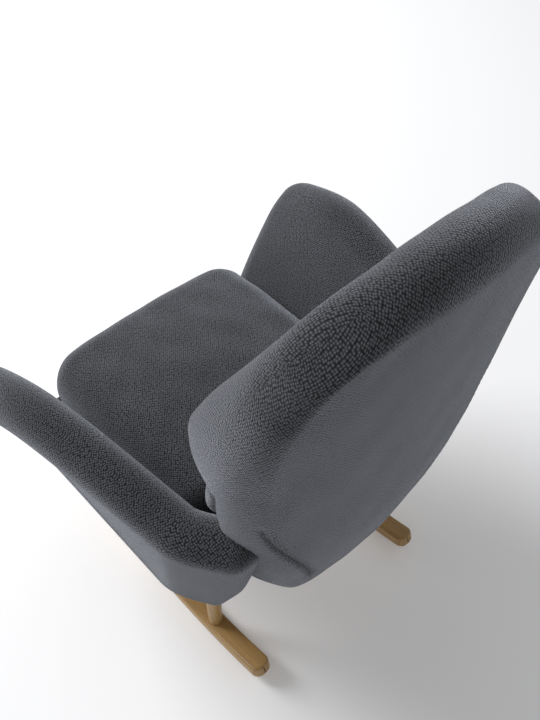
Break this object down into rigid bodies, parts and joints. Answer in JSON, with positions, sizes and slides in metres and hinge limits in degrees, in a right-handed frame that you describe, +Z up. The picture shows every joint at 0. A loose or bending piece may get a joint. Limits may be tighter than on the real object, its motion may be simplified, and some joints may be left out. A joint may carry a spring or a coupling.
{
  "type": "rocking chair",
  "caption": "Upholstered rocking chair with a high rolled back, flared wing-like arms, a loose seat cushion and curved wooden runners on turned legs.",
  "frame": {"origin": "on the floor, under the middle of the chair seen from above", "axes": "+Z up, -Y towards the front of the seat, +X towards the sitter's left"},
  "size_m": [0.7992, 0.752, 1.0529],
  "materials": {
    "upholstery_fabric": "charcoal grey chenille with a raised rice-grain weave and a soft sheen",
    "oak": "golden oak, straight grain, satin lacquer",
    "frame_wood": "plain sawn beech, unfinished",
    "foam": "cut upholstery foam, matte",
    "webbing": "woven elastic webbing",
    "lining_cloth": "thin non-woven lining cloth",
    "bolt_steel": "zinc-plated steel"
  },
  "bodies": {
    "root": {"apron": "upholstery_fabric", "arm_bolt_front_left": "bolt_steel", "arm_bolt_front_right": "bolt_steel", "arm_bolt_rear_left": "bolt_steel", "arm_bolt_rear_right": "bolt_steel", "arm_pad_left": "upholstery_fabric", "arm_pad_right": "upholstery_fabric", "arm_panel_left": "frame_wood", "arm_panel_right": "frame_wood", "back_bolt_left": "bolt_steel", "back_bolt_right": "bolt_steel", "back_cushion": "upholstery_fabric", "back_foam": "foam", "back_post_left": "frame_wood", "back_post_right": "frame_wood", "back_rail_lower": "frame_wood", "back_rail_middle": "frame_wood", "back_rail_top": "frame_wood", "back_shell": "upholstery_fabric", "back_strap_1": "webbing", "back_strap_2": "webbing", "back_strap_3": "webbing", "beam_front": "frame_wood", "beam_rear": "frame_wood", "corner_block_front_left": "frame_wood", "corner_block_front_right": "frame_wood", "corner_block_rear_left": "frame_wood", "corner_block_rear_right": "frame_wood", "dust_cover": "lining_cloth", "leg_front_left": "oak", "leg_front_right": "oak", "leg_rear_left": "oak", "leg_rear_right": "oak", "runner_left": "oak", "runner_right": "oak", "seat_bolt_front_left": "bolt_steel", "seat_bolt_front_right": "bolt_steel", "seat_bolt_rear_left": "bolt_steel", "seat_bolt_rear_right": "bolt_steel", "seat_cushion": "upholstery_fabric", "seat_foam": "foam", "seat_rail_front": "frame_wood", "seat_rail_left": "frame_wood", "seat_rail_rear": "frame_wood", "seat_rail_right": "frame_wood", "seat_strap_1": "webbing", "seat_strap_2": "webbing", "seat_strap_3": "webbing", "seat_strap_4": "webbing", "stretcher_front": "oak", "stretcher_rear": "oak"}
  },
  "joints": []
}
